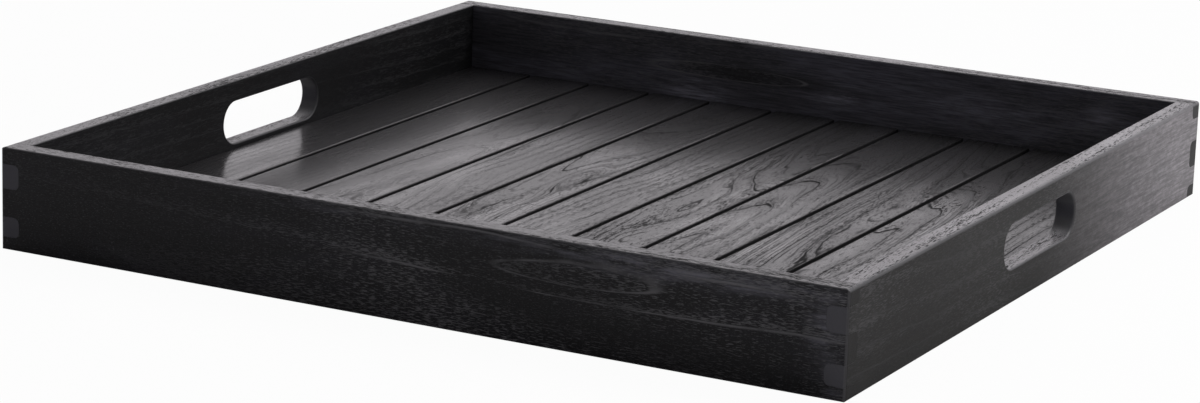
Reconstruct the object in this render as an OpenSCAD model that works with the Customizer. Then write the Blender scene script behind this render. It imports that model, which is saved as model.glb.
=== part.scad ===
// Square serving tray of black-stained wood.
// Four boards meet in rounded finger joints, the two side boards have hand holes,
// and a slatted floor lies on cleats and battens between them.
// Millimetres, +Z up. The origin is on the table, under the middle of the tray.
// X runs along the front board, Y from the front board to the back board.

/* [Boards] */
// Outside width, along the front board
tray_w = 600; // [420:1:760]
// Outside depth, along the handle boards
tray_d = 600; // [420:1:760]
// Height of the boards
tray_h = 68; // [64:1:90]
// Thickness of the four boards
board_t = 14; // [11:0.5:18]
// Radius of the upright outside corners
corner_r = 2; // [0.5:0.1:3]
// Radius of the outside top arris of the handle boards
handle_arris_r = 3; // [1:0.1:4]
// Radius of the other arrises of the boards
board_arris_r = 1; // [0.5:0.1:2]

/* [Finger joints] */
// Height of the top pin of the front and back boards
top_pin_h = 11; // [8:0.5:13]
// Height of the upper finger of a handle board
upper_finger_h = 16.5; // [12:0.5:18]
// Height of the middle pin of the front and back boards
middle_pin_h = 18.5; // [12:0.5:20]
// Height of the lower finger of a handle board
lower_finger_h = 13.5; // [10:0.5:15]
// Radius that the cutter leaves on the inner corners of pins and fingers
finger_r = 4; // [2:0.1:4.5]
// Glue gap around each pin and finger
glue_gap = 0.1; // [0.05:0.01:0.2]

/* [Hand holes] */
// Length of a hand hole
hole_l = 122; // [90:1:160]
// Height of a hand hole
hole_h = 30; // [26:1:34]
// Height of a hand hole's middle above the table
hole_z = 38; // [36:0.5:44]
// Radius of a hand hole's arrises
hole_arris_r = 1.5; // [0.5:0.1:3]

/* [Floor] */
// Number of slats
slat_n = 11; // [11:2:15]
// Thickness of a slat
slat_t = 9; // [7:0.5:12]
// Gap between two slats
slat_gap = 4; // [2:0.1:6]
// Extra width of the two outermost slats
edge_slat_extra = 3.6; // [0:0.1:8]
// Clearance between the floor and the boards around it
floor_gap = 0.3; // [0.1:0.05:0.6]
// Radius of a slat's long top arrises
slat_arris_r = 0.8; // [0.3:0.1:1.5]

/* [Cleats and battens] */
// Height of the cleats and battens
cleat_h = 9; // [7:0.5:12]
// Width of a cleat, out from its board
cleat_w = 12; // [10:0.5:20]
// Height of the cleats and battens above the table
cleat_lift = 1.6; // [0.5:0.1:4]
// Width of a batten
batten_w = 40; // [25:1:60]
// Distance between the middles of the two battens
batten_pitch = 190; // [120:1:240]
// Radius of the lower arrises of cleats and battens
cleat_arris_r = 1; // [0.3:0.1:2]

/* [Screws] */
// Diameter of a screw's head
screw_head_d = 6; // [5:0.1:6.5]
// Diameter of a screw's shank
screw_d = 3; // [2.5:0.1:3.5]
// Length of the screws that hold the slats
floor_screw_l = 14; // [12:0.5:14.5]
// Length of the screws that hold the cleats
cleat_screw_l = 20; // [16:0.5:21]
// Depth of a screw's head under the wood
screw_sink = 0.4; // [0.1:0.1:0.8]
// Gap between a screw and its hole
screw_gap = 0.1; // [0.05:0.01:0.2]
// Screws along each cleat
cleat_screw_n = 4; // [2:2:4]
// Slats from one cleat screw to the next
cleat_screw_step = 3; // [1:2:3]

/* [Hidden] */
$fn = 64;
// How far a cutting shape runs past the surface that it cuts
over = 1;

inner_w = tray_w - 2 * board_t;
inner_d = tray_d - 2 * board_t;

// Upper edges of the pins and fingers, from the top down
upper_finger_top = tray_h - top_pin_h;
middle_pin_top = upper_finger_top - upper_finger_h;
lower_finger_top = middle_pin_top - middle_pin_h;
bottom_pin_top = lower_finger_top - lower_finger_h;
// Lower and upper edge of each one; the outer pins run on past the boards' edges
past_edge = finger_r + over;
pins = [
    [upper_finger_top, tray_h + past_edge],
    [lower_finger_top, middle_pin_top],
    [-past_edge, bottom_pin_top]
];
fingers = [
    [middle_pin_top, upper_finger_top],
    [bottom_pin_top, lower_finger_top]
];

// Slats
slat_bottom = cleat_lift + cleat_h;
slat_l = inner_d - 2 * floor_gap;
floor_w = inner_w - 2 * floor_gap;
slat_w = (floor_w - 2 * edge_slat_extra - (slat_n - 1) * slat_gap) / slat_n;
slat_pitch = slat_w + slat_gap;
// Which edge of the floor a slat lies at: -1 left, 1 right, 0 neither
function slat_side(i) = i == 0 ? -1 : i == slat_n - 1 ? 1 : 0;
function slat_width(i) = slat_w + abs(slat_side(i)) * edge_slat_extra;
function slat_x(i) = (i - (slat_n - 1) / 2) * slat_pitch + slat_side(i) * edge_slat_extra / 2;

// What the slats lie on
cleat_y = inner_d / 2 - cleat_w / 2;
support_y = [-cleat_y, -batten_pitch / 2, batten_pitch / 2, cleat_y];
bar_l = inner_w - 2 * floor_gap;
cleat_screw_pitch = cleat_screw_step * slat_pitch;
function cleat_screw_x(k) = (k - (cleat_screw_n - 1) / 2) * cleat_screw_pitch;
cleat_screw_z = cleat_lift + cleat_h / 2;

// Screws
screw_head_h = (screw_head_d - screw_d) / 2;
screw_tip_h = screw_d;
// Cross recess in a screw's head
drive_w = 0.8;
drive_l = 3.3;
drive_depth = 1.2;

black_stain = "#1d1d20";
floor_stain = "#4b494e";
under_stain = "#262528";
dark_steel = "#3a3b3e";

function two_digits(i) = str(i < 10 ? "0" : "", i);
slat_names = [for (i = [0 : slat_n - 1]) str("slat_", two_digits(i + 1))];

// The corner of a square edge that rounding it to radius r takes off.
// The edge is at the origin and the wood lies towards -X and -Y.
module arris_waste(r) {
    translate([-r, -r])
        difference() {
            square(r + over);
            circle(r);
        }
}

// A bar's end view: w wide about the origin and h high from it, with eased corners
module eased_bar(w, h, top_r, bottom_r) {
    difference() {
        translate([-w / 2, 0])
            square([w, h]);
        for (side = [0, 1])
            mirror([side, 0]) {
                if (top_r > 0)
                    translate([w / 2, h])
                        arris_waste(top_r);
                if (bottom_r > 0)
                    translate([w / 2, 0])
                        mirror([0, 1])
                            arris_waste(bottom_r);
            }
    }
}

// Extrudes an end view drawn in X and Z along Y, about the middle
module along_y(length) {
    rotate([90, 0, 0])
        linear_extrude(length, center = true)
            children();
}

// Extrudes an end view drawn in Y and Z along X, about the middle
module along_x(length) {
    rotate([90, 0, 90])
        linear_extrude(length, center = true)
            children();
}

// The outside of the whole tray, with all its outer arrises
module outside() {
    intersection() {
        along_y(tray_d + 2 * over)
            eased_bar(tray_w, tray_h, handle_arris_r, board_arris_r);
        along_x(tray_w + 2 * over)
            eased_bar(tray_d, tray_h, board_arris_r, board_arris_r);
        linear_extrude(tray_h)
            translate([0, -tray_d / 2])
                eased_bar(tray_w, tray_d, corner_r, corner_r);
    }
}

// End view of the space between two boards, opening out round their inner top arrises
module pocket_view(w) {
    translate([-w / 2, -over])
        square([w, tray_h + 2 * over]);
    for (side = [0, 1])
        mirror([side, 0])
            translate([w / 2, tray_h])
                mirror([1, 0])
                    arris_waste(board_arris_r);
}

// The space inside the four boards
module pocket() {
    intersection() {
        along_y(tray_d)
            pocket_view(inner_w);
        along_x(tray_w)
            pocket_view(inner_d);
    }
}

// End view of one pin or finger, from its outside face to a depth, between two heights.
// Its two inner corners carry the cutter's radius.
module finger_view(depth, low, high, r) {
    difference() {
        translate([-over, low])
            square([depth + over, high - low]);
        translate([depth, high])
            arris_waste(r);
        translate([depth, low])
            mirror([0, 1])
                arris_waste(r);
    }
}

// The front board's share of the corner, with the tray's outside corner at the origin,
// the front board along +X and the handle board along +Y. A gap grows it all round.
module front_share(gap) {
    reach = board_t + over;
    // Pins that run out to the handle board's outside face
    translate([-over, 0, 0])
        rotate([90, 0, 90])
            linear_extrude(reach + over)
                for (pin = pins)
                    finger_view(board_t + gap, pin[0] - gap, pin[1] + gap, finger_r + gap);
    // Wood round the rounded corners of the handle board's fingers
    translate([0, board_t + gap, 0])
        rotate([90, 0, 0])
            linear_extrude(board_t + gap + over)
                for (finger = fingers)
                    difference() {
                        translate([board_t - finger_r, finger[0]])
                            square([finger_r + over, finger[1] - finger[0]]);
                        finger_view(board_t - gap, finger[0] + gap, finger[1] - gap, finger_r - gap);
                    }
}

// The same share in its place at the front left corner
module front_left_share(gap) {
    translate([-tray_w / 2, -tray_d / 2, 0])
        front_share(gap);
}

module front_board() {
    color(black_stain)
        difference() {
            intersection() {
                outside();
                union() {
                    translate([-inner_w / 2, -tray_d / 2 - over, -over])
                        cube([inner_w, board_t + over, tray_h + 2 * over]);
                    for (side = [0, 1])
                        mirror([side, 0, 0])
                            front_left_share(0);
                }
            }
            pocket();
            at_cleat_screws()
                screw_hole(cleat_screw_l);
        }
}

module back_board() {
    mirror([0, 1, 0])
        front_board();
}

// End view of the hand hole's rounded arris: the hole's edge is at half_h from the middle,
// and the board's face is at the origin
module hole_mouth_view(half_h) {
    difference() {
        translate([0, -over])
            square([half_h + hole_arris_r, hole_arris_r + over]);
        translate([half_h + hole_arris_r, hole_arris_r])
            circle(hole_arris_r);
    }
}

// One mouth of the hand hole, opening towards -Z from the plane Z = 0
module hole_mouth() {
    straight_l = hole_l - hole_h;
    for (side = [-1, 1])
        translate([side * straight_l / 2, 0, 0])
            rotate_extrude()
                hole_mouth_view(hole_h / 2);
    rotate([90, 0, 90])
        linear_extrude(straight_l, center = true)
            for (half = [0, 1])
                mirror([half, 0])
                    hole_mouth_view(hole_h / 2);
}

// The whole cut of the hand hole, through a board that lies on Z = 0
module hand_hole() {
    straight_l = hole_l - hole_h;
    translate([0, 0, -over])
        linear_extrude(board_t + 2 * over) {
            square([straight_l, hole_h], center = true);
            for (side = [-1, 1])
                translate([side * straight_l / 2, 0])
                    circle(d = hole_h);
        }
    hole_mouth();
    translate([0, 0, board_t])
        mirror([0, 0, 1])
            hole_mouth();
}

module left_handle_board() {
    color(black_stain)
        difference() {
            intersection() {
                outside();
                translate([-tray_w / 2 - over, -tray_d / 2 - over, -over])
                    cube([board_t + over, tray_d + 2 * over, tray_h + 2 * over]);
            }
            pocket();
            for (end = [0, 1])
                mirror([0, end, 0])
                    front_left_share(glue_gap);
            translate([-tray_w / 2, 0, hole_z])
                rotate([90, 0, 90])
                    hand_hole();
        }
}

module right_handle_board() {
    mirror([1, 0, 0])
        left_handle_board();
}

// A countersunk screw's outline, head down at the origin, with a gap all round
module screw_view(length, gap) {
    head_r = screw_head_d / 2 + gap;
    shank_r = screw_d / 2 + gap;
    polygon([
        [0, 0],
        [head_r, 0],
        [shank_r, screw_head_h],
        [shank_r, length - screw_tip_h],
        [0, length + gap]
    ]);
}

// One countersunk screw, head down, with its cross recess
module screw(length) {
    difference() {
        rotate_extrude()
            screw_view(length, 0);
        for (turn = [0, 90])
            rotate([0, 0, turn])
                cube([drive_l, drive_w, 2 * drive_depth], center = true);
    }
}

// The hole that a screw sits in, open below its head
module screw_hole(length) {
    rotate_extrude()
        screw_view(length, screw_gap);
    translate([0, 0, -screw_sink - over])
        cylinder(h = screw_sink + over, d = screw_head_d + 2 * screw_gap);
}

// Puts a child at each floor screw of one slat: a screw, head down, at each support
module at_floor_screws(i) {
    for (y = support_y)
        translate([slat_x(i), y, cleat_lift + screw_sink])
            children();
}

// Puts a child at each screw of the front cleat, head towards the back
module at_cleat_screws() {
    for (k = [0 : cleat_screw_n - 1])
        translate([cleat_screw_x(k), -inner_d / 2 + cleat_w - screw_sink, cleat_screw_z])
            rotate([90, 0, 0])
                children();
}

module slat(i) {
    color(floor_stain)
        difference() {
            translate([slat_x(i), 0, slat_bottom])
                along_y(slat_l)
                    eased_bar(slat_width(i), slat_t, slat_arris_r, 0);
            at_floor_screws(i)
                screw_hole(floor_screw_l);
        }
}

// A cleat or batten that all the slats are screwed to from below
module floor_bar(w, y) {
    difference() {
        translate([0, y, cleat_lift])
            along_x(bar_l)
                eased_bar(w, cleat_h, 0, cleat_arris_r);
        for (i = [0 : slat_n - 1])
            translate([slat_x(i), y, cleat_lift + screw_sink])
                screw_hole(floor_screw_l);
    }
}

module front_cleat() {
    color(under_stain)
        difference() {
            floor_bar(cleat_w, -cleat_y);
            at_cleat_screws()
                screw_hole(cleat_screw_l);
        }
}

module back_cleat() {
    mirror([0, 1, 0])
        front_cleat();
}

module front_batten() {
    color(under_stain)
        floor_bar(batten_w, -batten_pitch / 2);
}

module back_batten() {
    mirror([0, 1, 0])
        front_batten();
}

module floor_screws() {
    color(dark_steel)
        for (i = [0 : slat_n - 1])
            at_floor_screws(i)
                screw(floor_screw_l);
}

module cleat_screws() {
    color(dark_steel)
        for (end = [0, 1])
            mirror([0, end, 0])
                at_cleat_screws()
                    screw(cleat_screw_l);
}

front_board();
back_board();
left_handle_board();
right_handle_board();
for (i = [0 : slat_n - 1])
    slat(i);
front_cleat();
back_cleat();
front_batten();
back_batten();
floor_screws();
cleat_screws();
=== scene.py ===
"""Looks, light and camera for a square serving tray of black-stained wood with a slatted floor."""

import math

import bmesh
import bpy
from bpy.props import FloatProperty, FloatVectorProperty, PointerProperty
from mathutils import Matrix, Vector


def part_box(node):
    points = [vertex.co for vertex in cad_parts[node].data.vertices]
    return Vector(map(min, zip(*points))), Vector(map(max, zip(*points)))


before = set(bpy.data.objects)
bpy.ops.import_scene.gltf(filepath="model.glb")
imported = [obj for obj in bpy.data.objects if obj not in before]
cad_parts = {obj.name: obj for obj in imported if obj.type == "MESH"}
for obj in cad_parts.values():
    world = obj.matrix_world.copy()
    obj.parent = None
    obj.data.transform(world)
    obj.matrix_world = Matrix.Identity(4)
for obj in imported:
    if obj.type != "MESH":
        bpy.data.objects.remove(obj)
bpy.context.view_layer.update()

bl_info = {
    "name": "Slatted tea tray",
    "version": (1, 0, 0),
    "blender": (4, 5, 0),
    "location": "3D View > Sidebar > Tray",
    "description": "Finishes the boards, slats and screws of a black wooden tray and sets up its studio",
    "category": "Object",
}

MM = 1000.0


def grey(value, warmth=0.0, blue=0.0):
    return (value * (1 + warmth), value, value * (1 + blue), 1.0)


def shade(colour, share):
    """The same colour, darker or paler."""
    return [share * channel for channel in list(colour)[:3]] + [1.0]


# How each kind of piece lies: rows give its across, along and depth directions in the tray's axes
LIES = {
    "front_to_back": Matrix(((1, 0, 0), (0, 1, 0), (0, 0, 1))),
    "on_edge_side_to_side": Matrix(((0, 0, 1), (1, 0, 0), (0, 1, 0))),
    "on_edge_front_to_back": Matrix(((0, 0, 1), (0, 1, 0), (-1, 0, 0))),
    "side_to_side": Matrix(((0, 1, 0), (1, 0, 0), (0, 0, -1))),
}

# Noise in the wood and the zinc: its change per mm across, along and through the piece, then
# its detail, roughness and bend
NOISES = {
    "slow": ((0.012, 0.0040, 0.012), 2.0, 0.5, 0.0),
    "quick": ((0.055, 0.011, 0.055), 3.0, 0.55, 0.0),
    "fade": ((0.035, 0.009, 0.035), 3.0, 0.6, 0.0),
    "bunch": ((0.060, 0.007, 0.060), 2.0, 0.5, 0.0),
    "pore": ((1.70, 0.18, 1.70), 2.0, 0.6, 0.1),
    "speck": ((2.4, 0.55, 2.4), 2.0, 0.6, 0.0),
    "patch": ((0.045, 0.012, 0.045), 2.0, 0.5, 0.0),
    "haze": ((0.024, 0.0065, 0.024), 4.0, 0.62, 0.4),
    "mottle": ((0.30, 0.14, 0.30), 4.0, 0.7, 0.0),
    "streak": ((0.16, 0.030, 0.16), 4.0, 0.65, 0.0),
    "fibre": ((0.75, 0.035, 0.75), 3.0, 0.7, 0.0),
    "dots": ((1.4, 1.4, 1.4), 2.0, 0.6, 0.0),
    "cloud": ((0.5, 0.5, 0.5), 4.0, 0.6, 0.0),
    "scratch": ((3.0, 0.6, 3.0), 3.0, 0.6, 0.0),
}
# The noise levels between which a mask made of that noise goes from 0 to 1
LEVELS = {
    "fade": (0.36, 0.58),
    "bunch": (0.45, 0.62),
    "speck": (0.58, 0.70),
    "haze": (0.40, 0.72),
    "mottle": (0.30, 0.70),
    "streak": (0.34, 0.66),
    "fibre": (0.36, 0.64),
    "dots": (0.56, 0.66),
    "scratch": (0.58, 0.68),
}

# Marks in one year's ring, as shares of its width: where each starts, is full, fades and ends
RING_MARKS = {
    "late": (0.45, 0.95, 0.965, 1.0),
    "line": (0.88, 0.94, 0.955, 0.995),
    "thread": (0.66, 0.88, 0.92, 1.0),
}
THREADS_PER_RING = 3.3
EARLY_WOOD = 0.40
PORE_LEVELS = (0.57, 0.63)
# How many mm the slow and the quick noise push the rings, per unit of a piece's waviness
SLOW_WAVE = 7.0
QUICK_WAVE = 1.6
# How far apart in the noise, in mm, two pieces lie whose numbers are one apart, so that no two
# look the same. The boards are numbered from 0, the slats and what is under them from these.
NEXT_PIECE = (0.0, 1330.0, 71.0)
FIRST_SLAT = 5
FIRST_UNDER = 20
BELL_BASE = 2.718
BUMP_DEPTH = 0.0005
MATT_SPECULAR = 0.15

# The eye of a board or slat that has none
PLAIN = (0, 900, 0, 9, 26)
# Each board, lengths in mm: how it lies, the heart of its tree (across, depth), taper, ring width,
# waviness, the eye of its figure (across, along, push, half width, half length), its stain and how
# strongly its top edge is painted paler as a painted sheen against the others', its wax, how strongly
# pores and ring lines show, how pale its smears are and where they lie (across, along, half width,
# half length, strength).
BOARDS = {
    "front_board": {
        "lie": "on_edge_side_to_side",
        "heart": (-30, 60), "taper": 0.012, "ring": 13.0, "wave": 1.6,
        "eye": (11, 112, 15, 10, 88),
        "stain": 1.25, "painted_top_sheen": 0.8, "wax": 0.40, "open": 0.75, "lines": 0.8, "smear": 0.190,
        "smears": [
            (27, 195, 6, 90, 1.0),
            (6, 286, 14, 10, 0.9),
            (-22, 293, 9, 6, 0.9),
            (30, 20, 3, 120, 0.3),
        ],
    },
    "back_board": {
        "lie": "on_edge_side_to_side",
        "heart": (6, -58), "taper": -0.012, "ring": 12.0, "wave": 2.0,
        "eye": (9, -44, 13, 6.5, 84),
        "stain": 1.2, "painted_top_sheen": 1.2, "wax": 0.80, "open": 0.45, "lines": 0.9, "smear": 0.330,
        "smears": [
            (-10, -92, 12, 22, 1.3),
            (3, 28, 7, 20, 1.1),
            (10, 150, 8, 60, 0.6),
            (-20, 40, 5, 160, 0.5),
            (14, 235, 8, 16, 0.8),
        ],
    },
    "left_handle_board": {
        "lie": "on_edge_front_to_back",
        "heart": (-60, 30), "taper": 0.020, "ring": 9.0, "wave": 2.0,
        "eye": PLAIN,
        "stain": 0.6, "painted_top_sheen": 0.9, "wax": 0.28, "open": 0.12, "lines": 0.1, "smear": 0.080,
        "smears": [(10, -200, 10, 60, 0.15)],
    },
    "right_handle_board": {
        "lie": "on_edge_front_to_back",
        "heart": (48, -70), "taper": -0.024, "ring": 9.0, "wave": 2.2,
        "eye": PLAIN,
        "stain": 1.3, "painted_top_sheen": 2.0, "wax": 0.80, "open": 0.30, "lines": 0.12, "smear": 0.120,
        "smears": [(0, 200, 20, 60, 0.2)],
    },
}
BOARD_HAZE = (2.0, 2.0, 2.5, 1.0)
BOARD_COAT_IOR = 1.42
# Painted light: the back board's inner side is painted paler, and the right board's outer side has
# a painted sheen towards its back end, which starts dark and grows pale over a reach along the
# board in mm
INNER_PAINTED_LIGHT = ((0.080, 0.080, 0.092, 1.0), (0.160, 0.160, 0.200, 1.0))
OUTER_DARK = (0.0125, 0.0120, 0.0105, 1.0)
OUTER_PAINTED_SHEEN = (0.270, 0.250, 0.268, 1.0)
OUTER_SHEEN_SHARES = (0.66, 1.25)
OUTER_SHEEN_REACH = (-20, 290)
# The front board's pores grow stronger and its ring lines begin over these reaches, in mm
FRONT_PORES_REACH = (-190, 60)
FRONT_PORES_LEAST = 0.22
FRONT_LINES_REACH = (-60, 15)
# Marks on the boards: the top edge painted paler as a painted sheen, where the haze is thin and
# thick, the dust in the sides' pores and the slow noise it needs, the fibre, and the back board's
# dark eye, which starts and is full where the eye pushes the rings by this many mm
TOP_SHEEN_PAINT = (0.060, 0.110)
PORE_DUST = grey(0.190, 0.0, 0.04)
DUSTY_LEVELS = (0.25, 0.60)
PORE_DARK = grey(0.004)
FIBRE_DARK = grey(0.005, 0.0, 0.08)
EYE_DARK = grey(0.012)
EYE_DARK_PUSH = (4.0, 8.5)
END_PALE = grey(0.085, 0.0, 0.16)
END_GREY = grey(0.055, 0.0, 0.12)
END_DARK = grey(0.015, 0.03, -0.08)
BOARD_ARRIS = grey(0.110, 0.0, 0.05)

# The slats from left to right: heart, taper, ring width, waviness, eye, how open the pores are
SLAT_WORDS = ("heart", "taper", "ring", "wave", "eye", "open")
SLATS = [
    ((60, -40), 0.020, 5.0, 1.6, PLAIN, 0.30),
    ((-50, -34), -0.020, 4.6, 1.4, PLAIN, 0.30),
    ((8, -44), 0.040, 6.4, 2.0, (6, 110, 9, 8, 40), 0.45),
    ((-30, -30), 0.030, 5.6, 2.2, (-4, -20, 7, 10, 50), 0.55),
    ((-6, -38), -0.034, 4.2, 3.0, (4, 20, 9, 9, 44), 0.80),
    ((34, -36), 0.030, 5.2, 2.2, (-6, 60, 6, 8, 50), 0.70),
    ((14, -32), -0.036, 4.4, 3.0, (2, 0, 7, 9, 60), 1.0),
    ((-12, -30), 0.040, 5.6, 2.6, (3, -165, 8, 9, 70), 0.95),
    ((20, -36), -0.030, 4.8, 2.4, (-14, -215, 7, 7, 50), 1.0),
    ((-24, -34), 0.038, 4.8, 3.0, (6, -190, 8, 8, 60), 1.0),
    ((40, -40), -0.024, 5.0, 2.0, PLAIN, 0.9),
]
SLAT_HAZE = 1.7
SLAT_LATE = grey(0.014, 0.0, 0.05)
SLAT_PORE = grey(0.005)
SLAT_LINE = grey(0.003)
SLAT_ARRIS = grey(0.030, 0.02, 0.05)
SLAT_COAT_IOR = 1.58
SLAT_BUMP = 0.35

# The cleats and battens under the slats, all alike
UNDER = ["front_cleat", "back_cleat", "front_batten", "back_batten"]
UNDER_LOOKS = {
    "lie": "side_to_side", "heart": (30, -30), "taper": 0.03, "ring": 5.0, "wave": 2.5, "eye": PLAIN,
}
UNDER_STAIN = (grey(0.017, 0.02, 0.06), grey(0.034, 0.0, 0.10))
UNDER_LINE = grey(0.007)
UNDER_PORE = grey(0.055)
UNDER_END = grey(0.010)
UNDER_ARRIS = grey(0.040)
UNDER_SHEEN = 0.5
UNDER_COAT_IOR = 1.4

SCREWS = ["floor_screws", "cleat_screws"]
ZINC = (grey(0.09, 0.0, 0.05), grey(0.17, 0.0, 0.06))
ZINC_SCRATCH = grey(0.26)
SCRATCH_DEPTH = 0.0002

# The studio, in metres: a floor just under the tray, and two soft lamps, each with where it hangs,
# what it points at, and its width and length
FLOOR_HALF = 12.0
FLOOR_DROP = 0.0002
FLOOR_GREY = 0.68
FLOOR_GLOW = 0.965
SIDE_LAMP = ((0.95, 0.55, 1.1), (0.75, 0.35, 0.0), (0.7, 0.9))
TOP_LAMP = ((-0.3, 0.9, 1.7), (0.0, 0.0, 0.0), (1.6, 1.2))
# The surroundings are brightest in this direction, behind the tray, and grow from dim to bright
# between these levels of facing it
BRIGHT_SIDE = (-0.463, 0.886, -0.10)
BRIGHT_LEVELS = (-0.45, 0.75)
SURROUNDINGS_TINT = (1.0, 0.96, 1.0, 1.0)


class Socket:
    """A shader value. Arithmetic on it adds Math nodes to its tree."""

    def __init__(self, sheet, out):
        self.sheet = sheet
        self.out = out

    def maths(self, operation, first, second):
        node = self.sheet.node("ShaderNodeMath", {"operation": operation}, {0: first, 1: second})
        return Socket(self.sheet, node.outputs[0])

    def __add__(self, other):
        return self.maths("ADD", self, other)

    def __radd__(self, other):
        return self.maths("ADD", other, self)

    def __sub__(self, other):
        return self.maths("SUBTRACT", self, other)

    def __rsub__(self, other):
        return self.maths("SUBTRACT", other, self)

    def __mul__(self, other):
        return self.maths("MULTIPLY", self, other)

    def __rmul__(self, other):
        return self.maths("MULTIPLY", other, self)

    def __truediv__(self, other):
        return self.maths("DIVIDE", self, other)

    def __rtruediv__(self, other):
        return self.maths("DIVIDE", other, self)

    def __pow__(self, other):
        return self.maths("POWER", self, other)

    def __rpow__(self, other):
        return self.maths("POWER", other, self)

    def __abs__(self):
        return self.maths("ABSOLUTE", self, 0.0)

    def fraction(self):
        return self.maths("FRACT", self, 0.0)

    def larger(self, other):
        return self.maths("MAXIMUM", self, other)


class Sheet:
    """The node tree of one material or of the world, emptied for new nodes."""

    def __init__(self, tree):
        self.tree = tree
        tree.nodes.clear()

    def node(self, kind, settings=None, values=None):
        made = self.tree.nodes.new(kind)
        for name, setting in (settings or {}).items():
            setattr(made, name, setting)
        for key, value in (values or {}).items():
            socket = self.find(made.inputs, key)
            if isinstance(value, Socket):
                self.tree.links.new(value.out, socket)
            else:
                socket.default_value = value
        return made

    @staticmethod
    def find(sockets, key):
        if isinstance(key, int):
            return sockets[key]
        for socket in sockets:
            if socket.identifier == key:
                return socket
        return sockets[key]

    def out(self, made, key=0):
        return Socket(self, self.find(made.outputs, key))

    def mix(self, share, first, second):
        node = self.node(
            "ShaderNodeMix",
            {"data_type": "RGBA"},
            {"Factor_Float": share, "A_Color": first, "B_Color": second},
        )
        return self.out(node, "Result_Color")

    def ramp(self, value, low, high, first=0.0, last=1.0):
        node = self.node(
            "ShaderNodeMapRange",
            {"interpolation_type": "SMOOTHSTEP"},
            {"Value": value, "From Min": low, "From Max": high, "To Min": first, "To Max": last},
        )
        return self.out(node, "Result")

    def mark(self, year, name):
        """A mark in the year's ring: it comes between two shares of the ring and goes again."""
        start, full, fading, end = RING_MARKS[name]
        return self.ramp(year, start, full) * self.ramp(year, fading, end, 1.0, 0.0)

    def stretch(self, place, by):
        node = self.node("ShaderNodeVectorMath", {"operation": "MULTIPLY"}, {0: place, 1: by})
        return self.out(node)

    def shift(self, place, by):
        node = self.node("ShaderNodeVectorMath", {"operation": "ADD"}, {0: place, 1: by})
        return self.out(node)

    def noise(self, place, name):
        per_mm, detail, roughness, bend = NOISES[name]
        values = {
            "Vector": self.stretch(place, per_mm),
            "Scale": 1.0,
            "Detail": detail,
            "Roughness": roughness,
            "Distortion": bend,
        }
        return self.out(self.node("ShaderNodeTexNoise", {}, values), "Fac")

    def mask(self, place, name):
        return self.ramp(self.noise(place, name), *LEVELS[name])

    def split(self, vector):
        node = self.node("ShaderNodeSeparateXYZ", {}, {0: vector})
        return self.out(node, 0), self.out(node, 1), self.out(node, 2)


def new_sheet(name):
    material = bpy.data.materials.new(name)
    material.use_nodes = True
    return material, Sheet(material.node_tree)


def dress(name, material):
    """Gives a CAD node its material, in its only slot."""
    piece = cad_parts[name]
    piece.data.materials.clear()
    piece.data.materials.append(material)
    return piece


def bell(across, along, middle, half):
    """A soft oval spot: 1 in its middle, faint past its half width and half length."""
    off = ((across - middle[0]) / half[0]) ** 2.0 + ((along - middle[1]) / half[1]) ** 2.0
    return BELL_BASE ** (-1.0 * off)


def grain(sheet, middle, number, looks):
    """Masks of one piece of open-grained wood, in its own across, along and depth millimetres."""
    turn = LIES[looks["lie"]]
    heart, taper, ring, wave, eye = (looks[key] for key in ("heart", "taper", "ring", "wave", "eye"))
    moved = turn @ Vector(middle) * MM
    values = {
        "Vector": sheet.out(sheet.node("ShaderNodeTexCoord"), "Object"),
        "Location": tuple(-moved),
        "Rotation": tuple(turn.to_euler()),
        "Scale": (MM, MM, MM),
    }
    place = sheet.out(sheet.node("ShaderNodeMapping", {"vector_type": "POINT"}, values))
    across, along, depth = sheet.split(place)
    own = sheet.shift(place, tuple(step * number for step in NEXT_PIECE))

    # Rings round the heart, pushed by noise and by the eye
    slow = sheet.noise(own, "slow")
    quick = sheet.noise(own, "quick")
    eye_across, eye_along, push, half_width, half_length = eye
    knot = push * bell(across, along, (eye_across, eye_along), (half_width, half_length))
    out_x = across - heart[0]
    out_z = depth - heart[1]
    radius = (out_x * out_x + out_z * out_z) ** 0.5
    waves = (slow - 0.5) * (wave * SLOW_WAVE) + (quick - 0.5) * (wave * QUICK_WAVE)
    rings = (radius + along * taper + waves + knot) / ring
    year = rings.fraction()
    thread_year = (rings * THREADS_PER_RING).fraction()
    line = sheet.mark(year, "line") * sheet.mask(own, "fade")
    thread = sheet.mark(thread_year, "thread") * sheet.mask(own, "bunch")

    # Pores are thickest in the early wood of each ring and come in patches
    early = sheet.ramp(year, 0.0, EARLY_WOOD, 1.0, 0.0)
    patch = sheet.noise(own, "patch")
    pore = sheet.noise(own, "pore") + early * 0.10 + (patch - 0.5) * 0.30
    return {
        "place": own,
        "along": along,
        "across": across,
        "knot": knot,
        "line": line,
        "thread": thread,
        "late": sheet.mark(year, "late"),
        "pores": sheet.ramp(pore, *PORE_LEVELS),
        "specks": sheet.mask(own, "speck"),
        "haze": sheet.mask(own, "haze"),
        "slow": slow,
    }


def facing(sheet, lie):
    """Masks of end grain, of arrises, and of the surfaces that face up, frontward or rightward."""
    normal = sheet.out(sheet.node("ShaderNodeTexCoord"), "Normal")
    x, y, z = sheet.split(normal)
    along = LIES[lie][1]
    ends = abs(x * along[0] + y * along[1] + z * along[2])
    most = abs(x).larger(abs(y)).larger(abs(z))
    return {
        "ends": sheet.ramp(ends, 0.75, 0.92),
        "arris": sheet.ramp(most, 0.90, 0.995, 1.0, 0.0),
        "up": sheet.ramp(z, 0.60, 0.90),
        "frontward": sheet.ramp(y, -0.9, -0.5, 1.0, 0.0),
        "rightward": sheet.ramp(x, 0.5, 0.9),
    }


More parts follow.
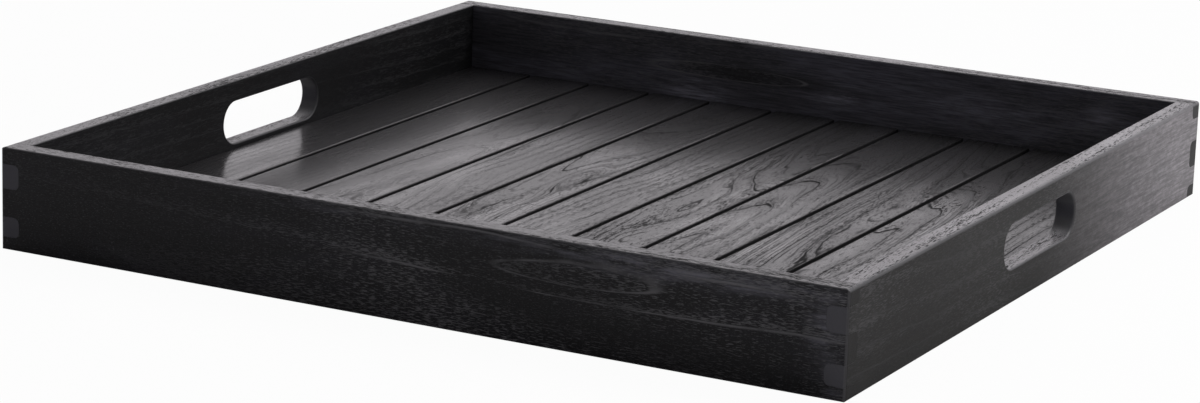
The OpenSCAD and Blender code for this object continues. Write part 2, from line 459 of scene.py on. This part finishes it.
def finish_wood(sheet, colour, roughness, coat, height, coat_roughness, coat_ior, bump=0.25):
    """The stained and waxed surface: matt wood under a thin satin coat that the pores break."""
    values = {"Strength": bump, "Distance": BUMP_DEPTH, "Height": height}
    relief = sheet.out(sheet.node("ShaderNodeBump", {}, values), "Normal")
    shader = sheet.node(
        "ShaderNodeBsdfPrincipled",
        {},
        {
            "Base Color": colour,
            "Roughness": roughness,
            "Specular IOR Level": MATT_SPECULAR,
            "Coat Weight": coat,
            "Coat Roughness": coat_roughness,
            "Coat IOR": coat_ior,
            "Normal": relief,
        },
    )
    surface = sheet.out(shader, "BSDF")
    sheet.node("ShaderNodeOutputMaterial", {}, {"Surface": surface})


def board_stain(sheet, name, wood, side, looks):
    """The stain with its haze and smears, and the painted light on the sides of the back and right
    boards.
    """
    body = shade(bpy.context.scene.tray_finish.board_colour, looks["stain"])
    hazy = [channel * by for channel, by in zip(body, BOARD_HAZE)]
    colour = sheet.mix(wood["haze"] * 0.6, body, hazy)
    if name == "back_board":
        # Painted light: the back board's frontward inner side is painted paler
        colour = sheet.mix(side["frontward"], colour, sheet.mix(wood["haze"], *INNER_PAINTED_LIGHT))
    if name == "right_handle_board":
        # Painted sheen: the right board's outer side stays dark towards its front and is painted pale
        # towards its back end
        colour = sheet.mix(side["rightward"], colour, OUTER_DARK)
        mottle = sheet.mask(wood["place"], "mottle")
        outer_sheen_paint = sheet.mix(mottle, *(shade(OUTER_PAINTED_SHEEN, share) for share in OUTER_SHEEN_SHARES))
        colour = sheet.mix(wood["outer"] * side["rightward"], colour, outer_sheen_paint)
    smear = 0.0
    streaks = sheet.mask(wood["place"], "streak")
    for across, along, half_width, half_length, strength in looks["smears"]:
        spot = bell(wood["across"], wood["along"], (across, along), (half_width, half_length))
        smear = streaks * strength * spot + smear
    return sheet.mix(smear, colour, grey(looks["smear"], 0.0, 0.20))


def board_marks(sheet, name, wood, side, looks, colour):
    """The top edge painted paler as a painted sheen, and the fibre, ring lines, pores, end grain and
    arrises over the stain.
    """
    # Painted sheen: the top faces are painted paler
    painted_top_sheen = sheet.mix(wood["haze"], *(grey(level * looks["painted_top_sheen"], 0.04, 0.06) for level in TOP_SHEEN_PAINT))
    colour = sheet.mix(side["up"], colour, painted_top_sheen)
    dust = sheet.mix(side["up"], PORE_DUST, PORE_DARK)
    fibre = sheet.mask(wood["place"], "fibre") * (1.0 - side["up"]) * (1.0 - side["ends"])
    colour = sheet.mix(fibre * 0.55, colour, FIBRE_DARK)
    if name == "back_board":
        eye = sheet.ramp(wood["knot"], *EYE_DARK_PUSH) * side["frontward"]
        colour = sheet.mix(eye * 0.60, colour, EYE_DARK)
    colour = sheet.mix(wood["line"] * looks["lines"], colour, dust)
    dusty = wood["pores"] * sheet.ramp(wood["slow"], *DUSTY_LEVELS)
    colour = sheet.mix(dusty * wood["figured"] * looks["open"], colour, dust)
    colour = sheet.mix(wood["specks"] * looks["open"] * 0.45, colour, dust)
    colour = sheet.mix(wood["pores"] * side["up"], colour, PORE_DARK)
    end_colour = sheet.mix(sheet.mask(wood["place"], "dots") * 0.5, END_PALE, END_GREY)
    end_colour = sheet.mix(side["rightward"], end_colour, END_DARK)
    colour = sheet.mix(side["ends"] * 0.9, colour, end_colour)
    return sheet.mix(side["arris"] * 0.7, colour, BOARD_ARRIS)


def board_material(name, number, looks):
    low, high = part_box(name)
    material, sheet = new_sheet(name + "_black_stain")
    wood = grain(sheet, (low + high) / 2, number, looks)
    side = facing(sheet, looks["lie"])
    wood["figured"] = 1.0
    if name == "front_board":
        wood["figured"] = sheet.ramp(wood["along"], *FRONT_PORES_REACH, FRONT_PORES_LEAST, 1.0)
        wood["line"] = wood["line"] * sheet.ramp(wood["along"], *FRONT_LINES_REACH)
    # Where along the right board the painted sheen on its outer side grows pale; the coat thins along
    # the same ramp
    if name == "right_handle_board":
        wood["outer"] = sheet.ramp(wood["along"], *OUTER_SHEEN_REACH)
    colour = board_stain(sheet, name, wood, side, looks)
    colour = board_marks(sheet, name, wood, side, looks, colour)

    # The wax is whole on the top edges, thin on end grain and on the right board's dark outer part
    broken = wood["pores"].larger(wood["specks"] * 0.6) * (looks["open"] * 0.6 + side["up"] * 0.8)
    coat = (1.0 - broken - wood["line"] * 0.3) * (looks["wax"] + side["up"] * (1.0 - looks["wax"]))
    coat = coat * (1.0 - side["ends"] * (0.2 + side["rightward"] * 0.5))
    if name == "right_handle_board":
        coat = coat * (1.0 - (0.75 - wood["outer"] * 0.75) * side["rightward"])
    roughness = 0.62 + broken * 0.20 - wood["haze"] * 0.06
    height = wood["slow"] * 0.4 - wood["pores"] * 1.0 - wood["specks"] * 0.4 - wood["line"] * 0.4
    sheen = bpy.context.scene.tray_finish.board_sheen
    finish_wood(sheet, colour, roughness, coat, height, sheen, BOARD_COAT_IOR)
    return material


def slat_material(name, number, looks):
    finish = bpy.context.scene.tray_finish
    low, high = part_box(name)
    material, sheet = new_sheet(name + "_rubbed_stain")
    wood = grain(sheet, (low + high) / 2, number + FIRST_SLAT, looks)
    side = facing(sheet, looks["lie"])
    pores = wood["pores"] * looks["open"]
    thread = wood["thread"] * looks["open"] ** 2
    line = wood["line"] * (0.25 + 0.75 * looks["open"])
    late = wood["late"] * looks["open"]

    body = shade(finish.slat_colour, 1.0)
    colour = sheet.mix(wood["haze"], body, shade(body, SLAT_HAZE))
    colour = sheet.mix(late * 0.45, colour, SLAT_LATE)
    colour = sheet.mix(thread * 0.6, colour, SLAT_PORE)
    colour = sheet.mix(line * 0.9, colour, SLAT_LINE)
    colour = sheet.mix(pores * 0.75, colour, SLAT_PORE)
    colour = sheet.mix(side["arris"] * 0.4, colour, SLAT_ARRIS)

    # The satin coat is nearly gone in the pores and ring lines, which so look black
    broken = (pores * 0.95).larger(line).larger(thread * 0.85)
    coat = (1.0 - broken * 0.96 - late * 0.25) * (0.66 + wood["haze"] * 0.34)
    coat = coat * (1.0 - side["ends"] * 0.5)
    roughness = 0.55 + broken * 0.30
    height = wood["slow"] * 0.3 - line * 1.0 - pores * 0.8 - wood["specks"] * 0.3
    finish_wood(sheet, colour, roughness, coat, height, finish.slat_sheen, SLAT_COAT_IOR, SLAT_BUMP)
    return material


def under_material(name, number):
    low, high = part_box(name)
    material, sheet = new_sheet(name + "_matt_stain")
    wood = grain(sheet, (low + high) / 2, number + FIRST_UNDER, UNDER_LOOKS)
    side = facing(sheet, UNDER_LOOKS["lie"])
    colour = sheet.mix(wood["haze"] * 0.6, *UNDER_STAIN)
    colour = sheet.mix(wood["line"] * 0.6, colour, UNDER_LINE)
    colour = sheet.mix(wood["pores"] * 0.6, colour, UNDER_PORE)
    colour = sheet.mix(side["ends"] * 0.7, colour, UNDER_END)
    colour = sheet.mix(side["arris"] * 0.4, colour, UNDER_ARRIS)
    coat = 0.25 - wood["pores"] * 0.2
    roughness = 0.72 + wood["pores"] * 0.15
    height = wood["slow"] * 0.4 - wood["pores"] - wood["line"] * 0.5
    finish_wood(sheet, colour, roughness, coat, height, UNDER_SHEEN, UNDER_COAT_IOR)
    return material


def screw_material():
    material, sheet = new_sheet("screw_dark_zinc")
    place = sheet.stretch(sheet.out(sheet.node("ShaderNodeTexCoord"), "Object"), (MM, MM, MM))
    cloud = sheet.noise(place, "cloud")
    scratch = sheet.mask(place, "scratch")
    colour = sheet.mix(cloud, *ZINC)
    colour = sheet.mix(scratch * 0.5, colour, ZINC_SCRATCH)
    values = {"Strength": 0.15, "Distance": SCRATCH_DEPTH, "Height": scratch}
    relief = sheet.out(sheet.node("ShaderNodeBump", {}, values), "Normal")
    shader = sheet.node(
        "ShaderNodeBsdfPrincipled",
        {},
        {
            "Base Color": colour,
            "Metallic": 0.9,
            "Roughness": 0.34 + cloud * 0.2,
            "Normal": relief,
        },
    )
    surface = sheet.out(shader, "BSDF")
    sheet.node("ShaderNodeOutputMaterial", {}, {"Surface": surface})
    return material


class TrayFinish(bpy.types.PropertyGroup):
    """Colours and sheen of the tray's wood."""

    board_colour: FloatVectorProperty(
        name="Board stain", description="Colour of the four boards", subtype="COLOR",
        size=3, min=0.0, max=1.0, default=(0.0075, 0.0075, 0.0086),
    )
    slat_colour: FloatVectorProperty(
        name="Slat stain", description="Colour of the slats", subtype="COLOR",
        size=3, min=0.0, max=1.0, default=(0.0120, 0.0112, 0.0124),
    )
    board_sheen: FloatProperty(
        name="Board sheen", description="Roughness of the boards' satin coat", subtype="FACTOR",
        min=0.0, max=1.0, default=0.34,
    )
    slat_sheen: FloatProperty(
        name="Slat sheen", description="Roughness of the slats' satin coat", subtype="FACTOR",
        min=0.0, max=1.0, default=0.19,
    )


class TrayStudio(bpy.types.PropertyGroup):
    """Camera and light of the tray's studio."""

    lens: FloatProperty(
        name="Lens", description="Focal length of the camera", subtype="DISTANCE_CAMERA",
        min=20.0, max=300.0, default=114.03,
    )
    camera_place: FloatVectorProperty(
        name="Camera", description="Where the camera stands", subtype="TRANSLATION",
        size=3, default=(1.1441, -2.2288, 0.6486),
    )
    camera_turn: FloatVectorProperty(
        name="Camera turn", description="Heading, downward tilt and roll of the camera",
        subtype="EULER", size=3,
        default=(math.radians(27.583), math.radians(14.249), math.radians(1.890)),
    )
    back_light: FloatProperty(
        name="Back light", description="Strength of the surroundings behind the tray",
        min=0.0, max=3.0, default=1.04,
    )
    front_light: FloatProperty(
        name="Front light", description="Strength of the surroundings on the camera's side",
        min=0.0, max=3.0, default=0.13,
    )
    side_lamp: FloatProperty(
        name="Side lamp", description="Power of the soft lamp at the back right", subtype="POWER",
        min=0.0, max=200.0, default=11.0,
    )
    top_lamp: FloatProperty(
        name="Top lamp", description="Power of the soft lamp above the back", subtype="POWER",
        min=0.0, max=200.0, default=4.0,
    )


class TRAY_OT_boards(bpy.types.Operator):
    """Finish the front, back and handle boards"""

    bl_idname = "tray.boards"
    bl_label = "Finish the boards"

    def execute(self, context):
        for number, (name, looks) in enumerate(BOARDS.items()):
            dress(name, board_material(name, number, looks))
        return {"FINISHED"}


class TRAY_OT_slats(bpy.types.Operator):
    """Finish the slats of the floor"""

    bl_idname = "tray.slats"
    bl_label = "Finish the slats"

    def execute(self, context):
        names = sorted(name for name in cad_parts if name.startswith("slat"))
        if len(names) != len(SLATS):
            raise RuntimeError(f"the tray has {len(names)} slats, and {len(SLATS)} are described")
        for number, (name, looks) in enumerate(zip(names, SLATS)):
            looks = dict(zip(SLAT_WORDS, looks), lie="front_to_back")
            dress(name, slat_material(name, number, looks))
        return {"FINISHED"}


class TRAY_OT_under(bpy.types.Operator):
    """Finish the cleats and battens under the floor"""

    bl_idname = "tray.under"
    bl_label = "Finish the cleats and battens"

    def execute(self, context):
        for number, name in enumerate(UNDER):
            dress(name, under_material(name, number))
        return {"FINISHED"}


class TRAY_OT_screws(bpy.types.Operator):
    """Finish the screws"""

    bl_idname = "tray.screws"
    bl_label = "Finish the screws"

    def execute(self, context):
        material = screw_material()
        for name in SCREWS:
            dress(name, material)
        return {"FINISHED"}


def soft_lamp(name, layout, power):
    place, target, size = layout
    lamp = bpy.data.lights.new(name, "AREA")
    lamp.shape = "RECTANGLE"
    lamp.size, lamp.size_y = size
    lamp.energy = power
    made = bpy.data.objects.new(name, lamp)
    made.location = place
    made.rotation_euler = (Vector(target) - Vector(place)).to_track_quat("-Z", "Y").to_euler()
    bpy.context.collection.objects.link(made)


class TRAY_OT_studio(bpy.types.Operator):
    """Set up the pale floor, the soft light and the camera"""

    bl_idname = "tray.studio"
    bl_label = "Set up the studio"

    def execute(self, context):
        scene = context.scene
        studio = scene.tray_studio
        scene.view_settings.view_transform = "Standard"
        self.lay_floor(context)
        self.light_world(scene, studio)
        soft_lamp("side_lamp", SIDE_LAMP, studio.side_lamp)
        soft_lamp("top_lamp", TOP_LAMP, studio.top_lamp)
        self.place_camera(context, studio)
        return {"FINISHED"}

    def lay_floor(self, context):
        """A pale floor that the camera sees as nearly white from above and sees through from below."""
        mesh = bpy.data.meshes.new("studio_floor")
        floor = bpy.data.objects.new("studio_floor", mesh)
        form = bmesh.new()
        bmesh.ops.create_grid(form, x_segments=1, y_segments=1, size=FLOOR_HALF)
        form.to_mesh(mesh)
        form.free()
        mesh.transform(Matrix.Translation((0.0, 0.0, -FLOOR_DROP)))
        context.collection.objects.link(floor)
        material, sheet = new_sheet("studio_floor_white")
        seen = sheet.out(sheet.node("ShaderNodeLightPath"), "Is Camera Ray")
        outer_sheen_paint = sheet.out(sheet.node("ShaderNodeBsdfDiffuse", {}, {"Color": grey(FLOOR_GREY)}))
        glow = sheet.out(sheet.node("ShaderNodeEmission", {}, {"Color": grey(1.0), "Strength": 1.0}))
        both = sheet.node("ShaderNodeMixShader", {}, {0: seen * FLOOR_GLOW, 1: outer_sheen_paint, 2: glow})
        under = sheet.out(sheet.node("ShaderNodeNewGeometry"), "Backfacing")
        clear = sheet.out(sheet.node("ShaderNodeBsdfTransparent"))
        floor_mix = sheet.node("ShaderNodeMixShader", {}, {0: under, 1: sheet.out(both), 2: clear})
        sheet.node("ShaderNodeOutputMaterial", {}, {"Surface": sheet.out(floor_mix)})
        mesh.materials.append(material)

    def light_world(self, scene, studio):
        """White for the camera, and for all else bright behind the tray and dim on this side."""
        world = bpy.data.worlds.new("studio_world")
        world.use_nodes = True
        scene.world = world
        sheet = Sheet(world.node_tree)
        seen = sheet.out(sheet.node("ShaderNodeLightPath"), "Is Camera Ray")
        towards = sheet.out(sheet.node("ShaderNodeTexCoord"), "Generated")
        x, y, z = sheet.split(towards)
        back = y * BRIGHT_SIDE[1] + x * BRIGHT_SIDE[0] + z * BRIGHT_SIDE[2]
        level = sheet.ramp(back, *BRIGHT_LEVELS, studio.front_light, studio.back_light)
        strength = level * (1.0 - seen) + seen
        values = {"Color": SURROUNDINGS_TINT, "Strength": strength}
        light = sheet.out(sheet.node("ShaderNodeBackground", {}, values))
        sheet.node("ShaderNodeOutputWorld", {}, {"Surface": light})

    def place_camera(self, context, studio):
        heading, tilt, roll = studio.camera_turn
        ahead = Vector((
            -math.sin(heading) * math.cos(tilt),
            math.cos(heading) * math.cos(tilt),
            -math.sin(tilt),
        ))
        turn = ahead.to_track_quat("-Z", "Y").to_matrix() @ Matrix.Rotation(roll, 3, "Z")
        lens = bpy.data.cameras.new("studio_camera")
        lens.sensor_width = 36.0
        lens.sensor_fit = "HORIZONTAL"
        lens.lens = studio.lens
        lens.clip_start = 0.05
        lens.clip_end = 50.0
        camera = bpy.data.objects.new("studio_camera", lens)
        camera.matrix_world = Matrix.Translation(studio.camera_place) @ turn.to_4x4()
        context.collection.objects.link(camera)
        context.scene.camera = camera


class TRAY_PT_panel(bpy.types.Panel):
    """The tray's colours, sheen, camera, light and steps"""

    bl_idname = "TRAY_PT_panel"
    bl_label = "Tray"
    bl_space_type = "VIEW_3D"
    bl_region_type = "UI"
    bl_category = "Tray"

    def draw(self, context):
        column = self.layout.column()
        for group in (context.scene.tray_finish, context.scene.tray_studio):
            for name in group.__annotations__:
                column.prop(group, name)
        for step in STEPS:
            column.operator(step.bl_idname)


STEPS = [TRAY_OT_boards, TRAY_OT_slats, TRAY_OT_under, TRAY_OT_screws, TRAY_OT_studio]
CLASSES = [TrayFinish, TrayStudio, *STEPS, TRAY_PT_panel]


def register():
    for entry in CLASSES:
        bpy.utils.register_class(entry)
    bpy.types.Scene.tray_finish = PointerProperty(type=TrayFinish)
    bpy.types.Scene.tray_studio = PointerProperty(type=TrayStudio)


def unregister():
    del bpy.types.Scene.tray_studio
    del bpy.types.Scene.tray_finish
    for entry in reversed(CLASSES):
        bpy.utils.unregister_class(entry)


def main():
    register()
    bpy.ops.tray.boards()
    bpy.ops.tray.slats()
    bpy.ops.tray.under()
    bpy.ops.tray.screws()
    bpy.ops.tray.studio()


if __name__ == "__main__":
    main()
